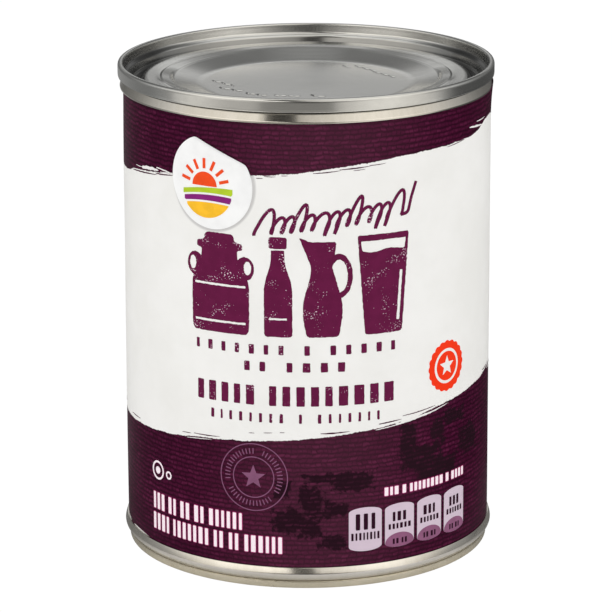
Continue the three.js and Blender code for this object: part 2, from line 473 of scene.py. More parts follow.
def paper_radius(arc, height):
    """Outside of the paper, which is slightly uneven and has a lapped edge at the back."""
    angle = arc / LABEL_RADIUS
    degrees = math.degrees(angle)
    ripple = noise.noise(Vector((math.sin(angle) * 2.2, math.cos(angle) * 2.2, height * 0.05)))
    slack = bump_between(degrees, -100, 62) * along(height, SLACK_LEFT)
    flare = bump_between(degrees, FLARE_MIDDLE, FLARE_REACH) * max(0.0, (height - 86) / 7) ** 2
    half_way = math.pi * LABEL_RADIUS
    lap = LAP_STEP * (1 - min(1.0, (arc + half_way) / LAP_WIDTH))
    return LABEL_RADIUS - 0.03 + 0.03 * ripple - slack + FLARE_OUT * flare + lap


# Meshes
def out_from(x, y, radius, angle):
    """The point at an angle round x and y, 0 to the right and then anticlockwise."""
    return (x + radius * math.cos(angle), y + radius * math.sin(angle))


def at_angle(angle, radius, height):
    """A point of the can, at an angle round it from the middle of its front."""
    return (radius * math.sin(angle), -radius * math.cos(angle), height)


def new_object(name, verts, faces, material):
    mesh = bpy.data.meshes.new(name)
    mesh.from_pydata([Vector(v) * MM for v in verts], [], faces)
    mesh.validate()
    mesh.materials.append(material)
    made = bpy.data.objects.new(name, mesh)
    bpy.context.scene.collection.objects.link(made)
    return made


def add_piece(name, verts, faces, material):
    piece = new_object(name, verts, faces, material)
    polygons = piece.data.polygons
    polygons.foreach_set("use_smooth", [True] * len(polygons))
    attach(piece, "root")
    return piece


def bowed(start, middle, end, t):
    """The point at share t of a curve from start to end that bows towards middle."""
    return start * (1 - t) ** 2 + middle * 2 * t * (1 - t) + end * t ** 2


def bent(corners, steps=5, support=0.0):
    """Rounds the corners of a path: each is (x, y, how far the bend reaches on each side).

    With support, an extra point is set just outside each bend, so that the straights shade flat."""
    points = []
    last = len(corners) - 1
    for i, (x, y, reach) in enumerate(corners):
        here = Vector((x, y))
        if i in (0, last) or reach == 0:
            points.append((x, y))
            continue
        back = Vector(corners[i - 1][:2]) - here
        on = Vector(corners[i + 1][:2]) - here
        start = here + back.normalized() * min(reach, back.length / 2)
        end = here + on.normalized() * min(reach, on.length / 2)
        if support and (start - here).length + 2 * support < back.length / 2:
            points.append(tuple(start + back.normalized() * support))
        points += [tuple(bowed(start, here, end, k / steps)) for k in range(steps + 1)]
        if support and (end - here).length + 2 * support < on.length / 2:
            points.append(tuple(end + on.normalized() * support))
    return points


def turned(name, profile, material, segments=288, uneven=None, extra=None):
    """A closed solid turned about the can's axis, from (radius, height) points between two on it.

    uneven(radius, angle, height) is added to the heights, and extra is (verts, faces) of loose parts."""
    verts = []
    rings = []
    for radius, height in profile:
        count = segments if radius > 1e-6 else 1
        rings.append([len(verts) + k for k in range(count)])
        for k in range(count):
            angle = 2 * math.pi * k / segments
            lift = uneven(radius, angle, height) if uneven else 0.0
            verts.append(at_angle(angle, radius, height + lift))
    faces = []
    for low, high in zip(rings, rings[1:]):
        for k in range(segments):
            j = (k + 1) % segments
            corners = [low[k % len(low)], low[j % len(low)], high[j % len(high)], high[k % len(high)]]
            faces.append(tuple(dict.fromkeys(corners)))
    if extra:
        first = len(verts)
        verts += extra[0]
        faces += [tuple(first + v for v in face) for face in extra[1]]
    return add_piece(name, verts, faces, material)


def end_profile(seam_radius, seam_height, depth, proud=0.0, crest_bend=0.75):
    """A stamped end as in the frame, with its bends: the seam's crest at height 0, the inside below.

    The seam's outside stands proud by a little, and its outer edge is bent round."""
    outside = seam_radius + proud
    plug = seam_radius - 1.7
    plug_bottom = -depth - END_THICKNESS
    corners = [
        (0, plug_bottom, 0),
        (plug - BEVEL, plug_bottom, 0.2),
        (plug, plug_bottom + BEVEL, 0.2),
        (plug, -seam_height, 0.1),
        (outside - 0.1, -seam_height, 0.3),
        (outside, -seam_height + 0.35, 0.3),
        (outside, 0, crest_bend),
        (seam_radius - SEAM_THICKNESS, 0, 0.35),
        (seam_radius - SEAM_THICKNESS - 0.05, -0.6, 0.3),
    ]
    corners += [(seam_radius - inset, -share * depth, reach) for _, inset, share, reach in PANEL_RINGS]
    corners.append((0, -depth, 0))
    return bent(corners, 6, SUPPORT)


def flat_pieces(outlines, holes=(), pitch=0.8):
    """Cuts flat outlines, less their holes, into triangles narrow enough to be bent round the can."""
    points = []
    edges = []
    faces = []
    for outline in list(outlines) + list(holes):
        first = len(points)
        points += [Vector(p) for p in outline]
        faces.append(list(range(first, len(points))))
    left, right = min(p.x for p in points), max(p.x for p in points)
    bottom, top = min(p.y for p in points), max(p.y for p in points)
    lines = [(pitch * k, bottom - 1, pitch * k, top + 1)
             for k in range(math.ceil(left / pitch), math.floor(right / pitch) + 1)]
    if top - bottom > 4 * pitch and len(outlines) == 1:
        rows = 2 * pitch
        lines += [(left - 1, rows * k, right + 1, rows * k)
                  for k in range(math.ceil(bottom / rows), math.floor(top / rows) + 1)]
    for x1, y1, x2, y2 in lines:
        edges.append((len(points), len(points) + 1))
        points += [Vector((x1, y1)), Vector((x2, y2))]
    found = delaunay_2d_cdt(points, edges, faces, 0, 1e-4, True)
    verts, triangles, sources = found[0], found[2], found[5]
    hole_from = len(outlines)
    kept = [t for t, s in zip(triangles, sources) if s and max(s) < hole_from]
    return verts, kept


def closed_sheet(upper, below):
    """Faces of a thin closed sheet from those of its upper side, whose points come again below places on."""
    borders = {}
    for face in upper:
        for a, b in zip(face, face[1:] + face[:1]):
            if (b, a) in borders:
                del borders[(b, a)]
            else:
                borders[(a, b)] = True
    lower = [tuple(v + below for v in reversed(face)) for face in upper]
    return upper + lower + [(b, a, a + below, b + below) for a, b in borders]


def add_sheet(name, verts, faces, material):
    """A piece that is smooth, but for its cut edges."""
    piece = add_piece(name, verts, faces, material)
    piece.data.set_sharp_from_angle(angle=SHARP_ANGLE)
    return piece


def printed(name, shapes, material, lift=INK_LIFT, lifted=None, depth=INK_DEPTH):
    """Thin film on the label: shapes are (outlines, holes) in millimetres round and up the label."""
    verts = []
    faces = []
    for outlines, holes in shapes:
        flat, triangles = flat_pieces(outlines, holes)
        used = sorted({v for t in triangles for v in t})
        index = {v: len(verts) + k for k, v in enumerate(used)}
        for sunk in (0.0, depth):
            for v in used:
                arc, height = flat[v]
                extra = lifted(arc, height) if lifted else 0.0
                radius = paper_radius(arc, height) + lift + extra - sunk
                verts.append(at_angle(arc / LABEL_RADIUS, radius, height))
        faces += closed_sheet([tuple(index[v] for v in t) for t in triangles], len(used))
    add_sheet(name, verts, faces, material)


# Flat outlines for the print: each shape is (outlines, holes)
def ellipse(x, y, half_width, half_height, start=0, end=360, steps=48):
    points = []
    whole = end - start == 360
    for k in range(steps if whole else steps + 1):
        angle = math.radians(start + (end - start) * k / steps)
        points.append((x + half_width * math.cos(angle), y + half_height * math.sin(angle)))
    return points


def ring(x, y, outer, inner, steps=64):
    return ([ellipse(x, y, outer, outer, steps=steps)], [ellipse(x, y, inner, inner, steps=steps)])


def closed(corners, steps=4):
    """A closed outline with rounded corners, from (x, y, reach of the bend)."""
    return bent([corners[-1], *corners, corners[0]], steps)[1:-1]


def block(left, bottom, right, top, reach=0.25):
    return ([closed([(left, bottom, reach), (right, bottom, reach), (right, top, reach),
                     (left, top, reach)])], [])


def stroke(points, width):
    """A pen stroke along points, as one outline for each short step."""
    quads = []
    half = width / 2
    for (x1, y1), (x2, y2) in zip(points, points[1:]):
        along = Vector((x2 - x1, y2 - y1)).normalized()
        side = Vector((-along.y, along.x)) * half
        reach = along * half * 0.4
        start = Vector((x1, y1)) - reach
        end = Vector((x2, y2)) + reach
        quads.append([tuple(start - side), tuple(end - side), tuple(end + side), tuple(start + side)])
    return (quads, [])


def bars(left, right, bottom, top, groups, gap, space, rng, reach=0.2):
    """A row of short upright bars in groups, filling the width from left to right."""
    count = sum(groups)
    gaps = gap * (count - len(groups)) + space * (len(groups) - 1)
    shares = [rng.uniform(0.75, 1.25) for _ in range(count)]
    unit = (right - left - gaps) / sum(shares)
    widths = iter([unit * share for share in shares])
    shapes = []
    x = left
    for group in groups:
        for _ in range(group):
            width = next(widths)
            shapes.append(block(x, bottom, x + width, top, reach))
            x += width + gap
        x += space - gap
    return shapes


def sticker_outline():
    """A hand-cut round paper sticker whose upper right side is folded back along a slanting line."""
    x, y = STICKER_MIDDLE
    start = math.atan2(FOLD_FROM[1] - y, FOLD_FROM[0] - x) + 0.07
    end = math.atan2(FOLD_TO[1] - y, FOLD_TO[0] - x) + 2 * math.pi - 0.12
    stretched = math.radians(130)
    round_side = []
    steps = 72
    for k in range(steps + 1):
        angle = start + (end - start) * k / steps
        off = angle - stretched
        radius = STICKER_RADIUS + 0.3 * math.cos(2 * off) + 0.25 * math.cos(off)
        round_side.append(out_from(x, y, radius, angle))
    corners = [(*round_side[-1], 0), (*FOLD_TO, 1.1), (*FOLD_FROM, 0.9), (*round_side[0], 0)]
    return round_side + bent(corners, 8)[1:-1]


def sticker_lift(arc, height):
    """The sticker stands a little proud along its folded edge."""
    x1, y1 = FOLD_FROM
    x2, y2 = FOLD_TO
    nx, ny = y2 - y1, -(x2 - x1)
    size = math.hypot(nx, ny)
    away = abs((arc - x1) * nx + (height - y1) * ny) / size
    t = max(0.0, 1 - away / 3.2)
    return 0.25 * t * t


def placed(corners, x, bottom, height):
    """Corners given as (out from x, share of the height, reach of the bend), at their place."""
    return [(x + out, bottom + up * height, reach) for out, up, reach in corners]


def mirrored(half):
    """All corners of an outline from those of its right half, from the foot upwards."""
    return half + [(-out, up, reach) for out, up, reach in reversed(half)]


def slit(x, half_width, bottom, top, reach):
    """The outline of a bare line across a figure."""
    return block(x - half_width, bottom, x + half_width, top, reach)[0][0]


def churn(x, bottom, top):
    """A milk churn seen from the side: body, sloping shoulders, neck, lid and two handles."""
    h = top - bottom
    half = [(5.9, 0.0, 0.8), (6.2, 0.08, 0.5), (6.2, 0.54, 1.6), (3.9, 0.73, 1.3), (3.9, 0.835, 0.2),
            (4.9, 0.845, 0.35), (4.9, 0.905, 0.4), (3.3, 0.925, 0.4), (3.0, 1.0, 0.9)]
    body = closed(placed(mirrored(half), x, bottom, h))
    handle_y = bottom + 0.665 * h
    handles = [ellipse(x + out, handle_y, 1.9, 2.35) for out in (-5.35, 5.35)]
    gaps = [ellipse(x + out, handle_y + 0.15, 0.75, 1.35) for out in (-5.95, 5.95)]
    hoops = [slit(x, 5.5, bottom + low * h, bottom + (low + 0.022) * h, 0.1) for low in (0.1, 0.47)]
    return ([body] + handles, gaps + hoops)


def bottle(x, bottom, top):
    h = top - bottom
    half = [(2.75, 0.0, 0.7), (2.75, 0.52, 1.6), (1.3, 0.74, 1.4), (1.3, 0.885, 0.15),
            (1.75, 0.89, 0.25), (1.75, 1.0, 0.45)]
    body = closed(placed(mirrored(half), x, bottom, h))
    cap_line = slit(x, 1.9, bottom + 0.868 * h, bottom + 0.885 * h, 0.05)
    window = slit(x, 1.7, bottom + 0.17 * h, bottom + 0.19 * h, 0.05)
    return ([body], [cap_line, window])


def jug(x, bottom, top):
    """A jug with a pouring lip on the left and a handle on the right."""
    h = top - bottom
    corners = [(-3.1, 0.0, 0.8), (3.1, 0.0, 0.8), (4.15, 0.29, 3.2), (2.0, 0.7, 2.6), (2.7, 0.955, 0.7),
               (-2.3, 0.955, 0.5), (-4.5, 1.0, 0.3), (-3.1, 0.83, 1.2), (-2.0, 0.68, 1.8), (-4.15, 0.29, 3.2)]
    body = closed(placed(corners, x, bottom, h), 6)
    handle = ellipse(x + 3.1, bottom + 0.61 * h, 2.75, 4.4)
    gap = [(max(px, x + 3.35 - 0.28 * (py - bottom - 0.43 * h)), py)
           for px, py in ellipse(x + 3.2, bottom + 0.61 * h, 1.65, 3.25)]
    return ([body, handle], [gap])


def glass(x, bottom, top):
    h = top - bottom
    body, rim, shine = (closed(placed(corners, x, bottom, h)) for corners in (
        [(-3.9, 0, 0.8), (3.9, 0, 0.8), (5.4, 1, 0.5), (-5.4, 1, 0.5)],
        [(-4.7, 0.94, 0.2), (-4.5, 0.84, 0.5), (-2.0, 0.82, 1.0), (1.0, 0.86, 1.2), (4.5, 0.83, 0.6),
         (4.7, 0.94, 0.2)],
        [(2.7, 0.12, 0.2), (3.3, 0.12, 0.2), (4.0, 0.62, 0.2), (3.4, 0.62, 0.2)]))
    return ([body], [rim, shine])


def flourish(left, right, middle):
    """A looping pen line that leans and rises to the right, with a long tail."""
    steps = 24
    whole = sum(width for width, up, down in LOOPS)
    unit = (right - left - 4.6) / whole
    points = []
    x = left + 1.4
    for width, up, down in LOOPS:
        for k in range(steps):
            t = k / steps
            turn = 2 * math.pi * t
            height = -math.cos(turn) * (up if math.cos(turn) < 0 else down)
            across = x + unit * width * t - 0.62 * math.sin(turn) * (0.6 + 0.4 * width)
            rise = -1.9 + 3.4 * (across - left) / (right - left)
            points.append((across + FLOURISH_SLANT * height, middle + rise + height))
        x += unit * width
    end_x, end_y = points[-1]
    tail = bent([(end_x, end_y, 0), (end_x + 1.5, end_y + 0.2, 0.8), (end_x + 2.2, end_y + 3.0, 1.2),
                 (end_x + 3.3, end_y + 6.0, 0)], 8)
    return points + tail[1:]


def star(x, y, outer, inner, points=5):
    return [out_from(x, y, inner if k % 2 else outer, math.pi / 2 + math.pi * k / points)
            for k in range(2 * points)]


def scallop(x, y, radius, depth, lobes, steps=96):
    outline = []
    for k in range(steps):
        angle = 2 * math.pi * k / steps
        r = radius - depth + depth * abs(math.cos(angle * lobes / 2))
        outline.append(out_from(x, y, r, angle))
    return outline


def tablet(left, bottom, right, top, bow):
    """A tall tablet with a bowed top and foot."""
    middle = (left + right) / 2
    half = (right - left) / 2
    return (ellipse(middle, top - bow, half, bow, 0, 180, 16)
            + ellipse(middle, bottom + bow, half, bow, 180, 360, 16))


# Camera, light and floor
def make_camera():
    data = bpy.data.cameras.new("camera")
    data.lens = FOCAL_LENGTH
    data.sensor_width = SENSOR_WIDTH
    camera = bpy.data.objects.new("camera", data)
    pitch = math.radians(CAMERA_PITCH)
    place = Vector((CAMERA_SIDE, -CAMERA_DISTANCE * math.cos(pitch),
                    AIM_HEIGHT + CAMERA_DISTANCE * math.sin(pitch))) * MM
    tilt = Matrix.Rotation(math.radians(90 - CAMERA_PITCH), 4, "X")
    roll = Matrix.Rotation(math.radians(CAMERA_ROLL), 4, "Z")
    camera.matrix_world = Matrix.Translation(place) @ tilt @ roll
    bpy.context.scene.collection.objects.link(camera)
    bpy.context.scene.camera = camera


def make_light():
    """A white room: soft even light, and for reflections two soft boxes with a gap between them."""
    world = bpy.data.worlds.new("studio")
    bpy.context.scene.world = world
    world.use_nodes = True
    world.node_tree.nodes.clear()
    n = Nodes(world.node_tree)
    x, y, z = n.parts(n.read("TexCoord", "Generated"))
    to_degrees = 180 / math.pi
    around = n.math("ARCTAN2", x, y * -1.0) * to_degrees
    up = n.math("ARCSINE", z) * to_degrees
    away = abs(around)
    low = n.step(up, 0.0, -12.0)

    # Two soft boxes in front, with a sharp dark gap between them
    gap_left = n.curve(up, [(-90, -29), (-16, -29), (-5, -20), (5, -9), (13, -11), (20, -13), (26, -27),
                            (31, -28), (90, -28)])
    gap_right = n.curve(up, [(-90, 18), (-16, 18), (-5, 12), (5, 6), (13, 4), (20, 1), (26, -5),
                             (31, -6), (90, -6)])
    left_level = n.curve(up, [(-90, 0.88), (-16, 0.88), (0, 1.2), (13, 1.6), (31, 1.1), (60, 1.1),
                              (90, 1.0)])
    left = n.step(around - gap_left, 1.5, -1.5) * left_level
    left = left * (1.0 - low * n.step(around, -72.0, -46.0, 0.0, 0.34))
    right_level = n.curve(up, [(-90, 1.08), (-16, 1.08), (0, 1.2), (13, 1.45), (31, 1.15), (60, 1.15),
                               (90, 1.0)])
    right_start = n.curve(up, [(-90, 10), (-16, 10), (0, 0), (13, -8), (31, -8), (90, -8)])
    right = n.step(around - gap_right, -1.5, 1.5) * right_level
    right = right * n.step(around, right_start, 48.0, 0.6, 1.0)

    # They fade to the sides, except below the horizon, where they end in sharp edges
    side = n.curve(away, [(0, 1), (48, 1), (60, 0.92), (84, 0.66), (108, 0.36), (132, 0.16), (152, 0.13),
                          (180, 0.1)])
    edges = n.step(around, -93.0, -86.0) * n.step(around, 95.0, 88.0) * n.step(around, 50.0, 90.0, 1.0, 0.74)
    beyond = n.curve(around, [(-180, 0.26), (-150, 0.34), (-132, 0.3), (-120, 0.28), (-108, 0.32),
                              (-94, 0.48), (0, 0.5), (88, 0.44), (98, 0.24), (108, 0.1), (150, 0.08),
                              (180, 0.1)])
    side = low * (n.most(edges, beyond) - side) + side
    boxes = (left + right) * side

    # Just over the horizon only the middle of each box shows
    horizon_middle = n.curve(away, [(0, 1), (54, -0.5), (105, -6), (180, -8)])
    horizon = n.step(abs(up - horizon_middle), 9.5, 6.0) * n.step(away, 120.0, 76.0)
    left_middle = n.step(abs(around + 54.0), 56.0, 0.0, 0.0, 0.95)
    right_middle = n.step(abs(around - 54.0), 52.0, 0.0, 0.0, 1.1)
    middles = n.most(left_middle, right_middle) + 0.03
    boxes = horizon * (middles - boxes) + boxes

    # What shows in the gap
    dim = n.curve(up, [(-90, 0.34), (-16, 0.34), (2, 0.05), (8, 0.1), (13, 0.15), (22, 0.05), (31, 0.04),
                       (90, 0.04)])
    gloss = n.most(boxes, dim * n.step(away, 50.0, 110.0, 1.0, 0.25))

    # Behind the can a grey card stands low down, and a white ceiling begins higher up
    card = n.curve(180.0 - away, [(0, 1), (2.5, 0.98), (6, 0.58), (9, 0.5), (22, 0.44), (38, 0.1), (60, 0),
                                  (180, 0)])
    card = card * n.curve(up, [(-90, 0.03), (4, 0.03), (10, 0.3), (14, 0.58), (17, 0.82), (22, 0.36),
                               (28, 0.27), (34, 0.27), (42, 0.34), (90, 0.4)])
    ceiling_start = n.curve(away, [(0, 66), (60, 66), (100, 42), (142, 46), (158, 52), (180, 56)])
    ceiling = n.step(up - ceiling_start, -3.0, 18.0)
    gloss = n.most(n.most(gloss, card), ceiling)
    warmth = n.mix(n.step(y, 0.3, -0.3), (1.0, 1.0, 0.985, 1.0), (1.0, 0.965, 0.895, 1.0))

    # Matt surfaces are lit evenly, a little more from the front
    even = y * -0.115 + 1.03 + x * -0.03
    glossy = n.read("LightPath", "Is Glossy Ray")
    seen = n.read("LightPath", "Is Camera Ray")
    level = glossy * gloss + (1.0 - glossy) * even
    background = n.fill(n.add("Background"), {"Color": n.mix(glossy, (1.0, 1.0, 1.0, 1.0), warmth),
                                              "Strength": (1.0 - seen) * level + seen})
    n.feed(n.add("OutputWorld").inputs["Surface"], background)


def make_floor():
    """A white table, with painted shade beside and behind the can. Only its near part is mirrored in the can.
    """
    near_radius = 62
    far_radius = 3000
    sides = 96
    material, n, shader = new_material("floor", 0.9, specular=0.0)
    x, y, z = n.parts(n.read("TexCoord", "Object"))
    close_by = n.step(n.reach(x, y), (near_radius + 2) * MM, (near_radius - 2) * MM)
    arc, height = n.around()
    # Painted shade: beside and behind the can the near floor turns dark grey, as the can mirrors it
    beside = close_by * n.step(abs(arc), 30.0, 64.0)
    n.feed(shader.inputs["Base Color"], n.mix(beside, (0.93, 0.93, 0.93, 1.0), (0.25, 0.25, 0.24, 1.0)))
    glow = n.fill(n.add("Emission"), {"Strength": 1.02})
    blend = n.add("MixShader")
    seen = n.read("LightPath", "Is Camera Ray")
    for socket, value in zip(blend.inputs, (seen, Value(n, shader.outputs[0]), glow)):
        n.feed(socket, value)
    output = next(node for node in material.node_tree.nodes if node.type == "OUTPUT_MATERIAL")
    n.feed(output.inputs["Surface"], Value(n, blend.outputs[0]))

    angles = [2 * math.pi * k / sides for k in range(sides)]
    near, far = ([(*out_from(0, 0, radius, angle), 0) for angle in angles]
                 for radius in (near_radius, far_radius))
    quads = [(k, k + sides, (k + 1) % sides + sides, (k + 1) % sides) for k in range(sides)]
    for name, verts, faces, mirrored_in_can in (("floor_near", near, [tuple(range(sides))], True),
                                                ("floor_far", near + far, quads, False)):
        floor = new_object(name, verts, faces, material)
        floor.visible_glossy = mirrored_in_can


# The can
def stamped_dashes():
    """Short rounded ridges stamped in the lid's flat centre, as loose parts: verts and faces."""
    verts = []
    faces = []
    half_width = 0.32
    tall = 0.2
    across = 6
    lengthwise = 10
    wide = across + 1
    ground = CAN_TOP - PANEL_DEPTH
    for start, end, count in STAMPED_ROWS:
        start, end = Vector(start), Vector(end)
        step = (end - start) / count
        ahead = step.normalized()
        side = Vector((-ahead.y, ahead.x))
        for k in range(count):
            tilt = 0.55 if k % 2 else -0.35
            line = ahead * math.cos(tilt) + side * math.sin(tilt)
            beside = Vector((-line.y, line.x))
            middle = start + step * (k + 0.5)
            half_length = min(1.3, step.length * 0.46)
            first = len(verts)
            for i in range(lengthwise + 1):
                u = -1 + 2 * i / lengthwise
                slim = math.sqrt(max(0.0, 1 - abs(u) ** 4))
                for j in range(wide):
                    v = -1 + 2 * j / across
                    spot = middle + line * (u * half_length) + beside * (v * half_width * slim)
                    height = tall * (0.5 + 0.5 * math.cos(math.pi * v)) * slim
                    verts.append((spot.x, spot.y, ground + height - 0.005))
            for i in range(lengthwise):
                for j in range(across):
                    a = first + i * wide + j
                    faces.append((a, a + wide, a + wide + 1, a + 1))
            rim = [first + i * wide for i in range(lengthwise + 1)]
            rim += [first + lengthwise * wide + j for j in range(1, wide)]
            rim += [first + i * wide + across for i in reversed(range(lengthwise))]
            rim += [first + j for j in range(across - 1, 0, -1)]
            low = len(verts)
            verts += [(verts[v][0], verts[v][1], ground - 0.1) for v in rim]
            for i, v in enumerate(rim):
                j = (i + 1) % len(rim)
                faces.append((v, low + i, low + j, rim[j]))
            faces.append(tuple(low + i for i in reversed(range(len(rim)))))
    return verts, faces


def lid_unevenness(radius, angle, height):
    """The real lid's rings run softly into each other round its back, and its wall is a little wavy."""
    if height > CAN_TOP - 0.5 or height < CAN_TOP - PANEL_DEPTH - 0.1:
        return 0.0
    off_back = abs(math.degrees(angle) - 180)
    inset = LID_RADIUS - radius

    def smoothed(table):
        nearby = (-0.2, -0.1, 0.0, 0.1, 0.2)
        return sum(along(inset + d, table) for d in nearby) / len(nearby)

    at_back = bump_between(max(0.0, off_back - 22), 0, 24)
    at_back_sides = (1 - at_back) * bump_between(max(0.0, off_back - 70), 0, 24)
    in_front = bump_between(max(0.0, 180 - off_back - 72), 0, 12)
    valley = 0.2 * bump_between(inset, 8.3, 0.9) * in_front
    ripple = noise.noise(Vector((math.sin(angle) * 4.5, math.cos(angle) * 4.5, 0.3)))
    wavy = 0.16 * bump_between(inset, 2.0, 1.6) * ripple
    return at_back * smoothed(BACK_OFFSETS) + at_back_sides * smoothed(BACK_SIDE_OFFSETS) + valley + wavy


def make_metal():
    lid_metal = tinplate("lid_tinplate", (0.64, 0.64, 0.625, 1), (0.58, 0.58, 0.565, 1), 0.17,
                         (0.06, 1.0, 1.0), countersink_painted_shade)
    shell_metal = tinplate("shell_tinplate", (0.70, 0.67, 0.62, 1), (0.62, 0.59, 0.53, 1), 0.14,
                           (1.0, 1.0, 0.2))
    base_metal = tinplate("base_tinplate", (0.67, 0.615, 0.49, 1), (0.55, 0.5, 0.385, 1), 0.24,
                          (0.06, 1.0, 1.0))

    lid_seam = CAN_TOP - SHELL_HIGH.z - GAP
    lid_profile = [(r, CAN_TOP + z) for r, z in end_profile(LID_RADIUS, lid_seam, PANEL_DEPTH)]
    lid = turned("lid", lid_profile, lid_metal, 432, lid_unevenness, stamped_dashes())
    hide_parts("top_end")

    base_seam = SHELL_LOW.z - GAP
    base_end = end_profile(BASE_RADIUS, base_seam, BASE_DEPTH, 0.22, 0.35)
    base_profile = [(r, -z) for r, z in reversed(base_end)]
    base = turned("base", base_profile, base_metal)
    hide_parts("bottom_end")

    neck_low = BASE_RADIUS - 1.0
    neck_high = LID_RADIUS - 1.0
    wall = 0.4
    under = LABEL_RADIUS - 0.75
    floor = BASE_DEPTH + END_THICKNESS + GAP
    roof = CAN_TOP - PANEL_DEPTH - END_THICKNESS - GAP
    shell_profile = bent([
        (0, floor, 0),
        (neck_low - wall - BEVEL, floor, 0.1),
        (neck_low - wall, SHELL_LOW.z + 1.1, 0.1),
        (neck_low - wall, SHELL_LOW.z - 0.25, 0.05),
        (BASE_RADIUS + 0.15, SHELL_LOW.z - 0.25, 0.1),
        (SHELL_RADIUS, FOOT_BEAD_HEIGHT, 0.55),
        (SHELL_RADIUS - 0.24, LABEL_LOW.z - 0.75, 0.4),
        (SHELL_RADIUS - 0.45, LABEL_LOW.z - 0.05, 0.1),
        (under, LABEL_LOW.z - 0.05, 0.05),
        (under, LABEL_HIGH.z + 0.1, 0.05),
        (LABEL_RADIUS + 0.15, LABEL_HIGH.z + 0.1, 0.1),
        (LABEL_RADIUS + 0.25, LABEL_HIGH.z + 0.42, 0.22),
        (neck_high - 0.05, SHELL_HIGH.z, 0.1),
        (neck_high - wall, SHELL_HIGH.z, 0.05),
        (neck_high - wall, roof + BEVEL, 0.1),
        (neck_high - wall - BEVEL, roof, 0.1),
        (0, roof, 0),
    ], 6, SUPPORT)
    shell = turned("shell", shell_profile, shell_metal)
    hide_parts("body")


def make_label():
    """The paper, a closed sleeve with a lapped edge at the back and a slightly uneven surface."""
    columns = 360
    rows = 88
    thickness = 0.18
    half_way = math.pi * LABEL_RADIUS
    wide = columns + 1
    verts = []
    for sunk in (0.0, thickness):
        for i in range(rows + 1):
            for k in range(wide):
                arc = -half_way + 2 * half_way * k / columns
                height = LABEL_LOW.z + (LABEL_HIGH.z - LABEL_LOW.z) * i / rows
                height += paper_rise(arc) * max(0.0, (i - rows + 8) / 8)
                radius = paper_radius(arc, height) - sunk
                verts.append(at_angle(arc / LABEL_RADIUS, radius, height))
    outside = [(a, a + 1, a + 1 + wide, a + wide)
               for i in range(rows) for a in range(i * wide, i * wide + columns)]
    faces = closed_sheet(outside, (rows + 1) * wide)
    label = add_sheet("label_sheet", verts, faces, label_paper())
    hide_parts("label")


def streak(x1, y1, x2, y2, x3, y3, thick, rng):
    """A tapered ragged brush streak, bowed towards its middle."""
    start, middle, end = Vector((x1, y1)), Vector((x2, y2)), Vector((x3, y3))
    steps = max(8, int((x3 - x1) / 0.35))
    upper = []
    lower = []
    for k in range(steps + 1):
        t = k / steps
        x, y = bowed(start, middle, end, t)
        half = thick * 0.5 * math.sin(math.pi * min(1.0, 0.12 + 0.88 * t)) ** 0.6
        upper.append((x, y + half * rng.uniform(0.65, 1.15)))
        lower.append((x, y - half * rng.uniform(0.65, 1.15)))
    return ([lower + upper[::-1]], [])


def make_streaks():
    rng = random.Random(5)
    paper = ink("streak_white", srgb(238, 236, 233), srgb(226, 220, 222), 0.2, 0.05)
    purple = ink("streak_purple", BAND_PURPLE, srgb(150, 90, 120), 0.5)
    printed("print_white_streaks", [streak(*s, rng) for s in WHITE_STREAKS], paper)
    printed("print_purple_streaks", [streak(*s, rng) for s in PURPLE_STREAKS], purple)


def roughened(shape, rng, amount=0.05, spacing=0.45):
    """The same shape with its outlines slightly uneven, as from a worn printing block."""
    def rough(outline):
        points = []
        for (x1, y1), (x2, y2) in zip(outline, outline[1:] + outline[:1]):
            parts = max(1, int(math.hypot(x2 - x1, y2 - y1) / spacing))
            for k in range(parts):
                t = k / parts
                points.append((x1 + (x2 - x1) * t + rng.uniform(-amount, amount),
                               y1 + (y2 - y1) * t + rng.uniform(-amount, amount)))
        return points
    outlines, holes = shape
    return ([rough(o) for o in outlines], [rough(h) for h in holes])


def grown(shape, margin):
    """A block a little larger all round, for the pink edge that shows round the white print."""
    xs, ys = zip(*shape[0][0])
    return block(min(xs) - margin, min(ys) - margin, max(xs) + margin, max(ys) + margin, 0.3)


